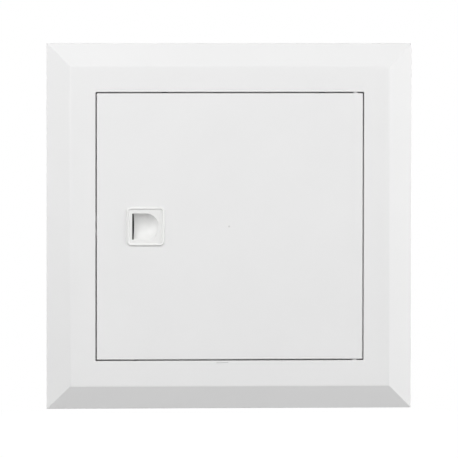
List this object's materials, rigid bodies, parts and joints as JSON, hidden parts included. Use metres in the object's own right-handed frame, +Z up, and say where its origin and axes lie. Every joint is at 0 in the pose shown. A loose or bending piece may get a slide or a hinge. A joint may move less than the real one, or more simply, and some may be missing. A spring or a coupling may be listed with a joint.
{
  "type": "ceiling access panel",
  "caption": "Square plastic access panel: mitred border, flush hinged door with a sliding finger latch, and swing-out clamps that hold it in a ceiling cut-out.",
  "frame": {"origin": "centre of the door opening in the plane of the surface that the panel is fitted to", "axes": "+Y into the ceiling or wall, +X to the hinge side, +Z up as pictured"},
  "size_m": [0.25, 0.0392, 0.25],
  "materials": {
    "frame_abs": "fine satin moulding",
    "door_abs": "fine satin moulding",
    "acetal": "smooth moulding",
    "nylon": "natural, slightly rough",
    "spring_steel": "drawn wire",
    "black_steel": "blackened sheet",
    "zinc_steel": "zinc plated",
    "brass": "turned"
  },
  "bodies": {
    "frame": {"frame": "frame_abs"},
    "door": {"door_leaf": "door_abs", "hinge_pin_top": "acetal", "hinge_pin_bottom": "acetal", "bolt_keeper": "black_steel", "keeper_screw_1": "zinc_steel", "keeper_screw_2": "zinc_steel", "latch_spring": "spring_steel"},
    "latch": {"latch_cup": "acetal", "latch_bolt": "acetal"},
    "screw_1": {"clamp_screw_1": "zinc_steel"},
    "screw_2": {"clamp_screw_2": "zinc_steel"},
    "screw_3": {"clamp_screw_3": "zinc_steel"},
    "screw_4": {"clamp_screw_4": "zinc_steel"},
    "insert_1": {"clamp_insert_1": "brass"},
    "insert_2": {"clamp_insert_2": "brass"},
    "insert_3": {"clamp_insert_3": "brass"},
    "insert_4": {"clamp_insert_4": "brass"},
    "arm_1": {"clamp_arm_1": "nylon"},
    "arm_2": {"clamp_arm_2": "nylon"},
    "arm_3": {"clamp_arm_3": "nylon"},
    "arm_4": {"clamp_arm_4": "nylon"}
  },
  "joints": [
    {"name": "door_hinge", "type": "hinge", "parent": "frame", "child": "door", "pos_m": [0.086, -0.0052, 0], "axis": [0, 0, 1], "range_deg": [0, 120]},
    {"name": "latch_slide", "type": "slide", "parent": "door", "child": "latch", "axis": [1, 0, 0], "range_m": [0, 0.0024], "stiffness_N_per_m": 200, "springref_m": -0.002, "deforming": ["latch_spring"]},
    {"name": "clamp_turn_1", "type": "hinge", "parent": "frame", "child": "screw_1", "pos_m": [0.064, 0, 0.0883], "axis": [0, 1, 0], "range_deg": [0, 7200]},
    {"name": "clamp_turn_2", "type": "hinge", "parent": "frame", "child": "screw_2", "pos_m": [-0.044, 0, 0.0883], "axis": [0, 1, 0], "range_deg": [0, 7200]},
    {"name": "clamp_turn_3", "type": "hinge", "parent": "frame", "child": "screw_3", "pos_m": [-0.064, 0, -0.0883], "axis": [0, 1, 0], "range_deg": [0, 7200]},
    {"name": "clamp_turn_4", "type": "hinge", "parent": "frame", "child": "screw_4", "pos_m": [0.044, 0, -0.0883], "axis": [0, 1, 0], "range_deg": [0, 7200]},
    {"name": "clamp_travel_1", "type": "slide", "parent": "frame", "child": "insert_1", "axis": [0, -1, 0], "range_m": [0, 0.014]},
    {"name": "clamp_travel_2", "type": "slide", "parent": "frame", "child": "insert_2", "axis": [0, -1, 0], "range_m": [0, 0.014]},
    {"name": "clamp_travel_3", "type": "slide", "parent": "frame", "child": "insert_3", "axis": [0, -1, 0], "range_m": [0, 0.014]},
    {"name": "clamp_travel_4", "type": "slide", "parent": "frame", "child": "insert_4", "axis": [0, -1, 0], "range_m": [0, 0.014]},
    {"name": "clamp_swing_1", "type": "hinge", "parent": "insert_1", "child": "arm_1", "pos_m": [0.064, 0, 0.0883], "axis": [0, 1, 0], "range_deg": [0, 90]},
    {"name": "clamp_swing_2", "type": "hinge", "parent": "insert_2", "child": "arm_2", "pos_m": [-0.044, 0, 0.0883], "axis": [0, 1, 0], "range_deg": [0, 90]},
    {"name": "clamp_swing_3", "type": "hinge", "parent": "insert_3", "child": "arm_3", "pos_m": [-0.064, 0, -0.0883], "axis": [0, 1, 0], "range_deg": [0, 90]},
    {"name": "clamp_swing_4", "type": "hinge", "parent": "insert_4", "child": "arm_4", "pos_m": [0.044, 0, -0.0883], "axis": [0, 1, 0], "range_deg": [0, 90]}
  ],
  "couplings": [
    {"joint": "clamp_turn_1", "follows": "clamp_travel_1", "rad_per_m": 8975.9},
    {"joint": "clamp_turn_2", "follows": "clamp_travel_2", "rad_per_m": 8975.9},
    {"joint": "clamp_turn_3", "follows": "clamp_travel_3", "rad_per_m": 8975.9},
    {"joint": "clamp_turn_4", "follows": "clamp_travel_4", "rad_per_m": 8975.9}
  ]
}
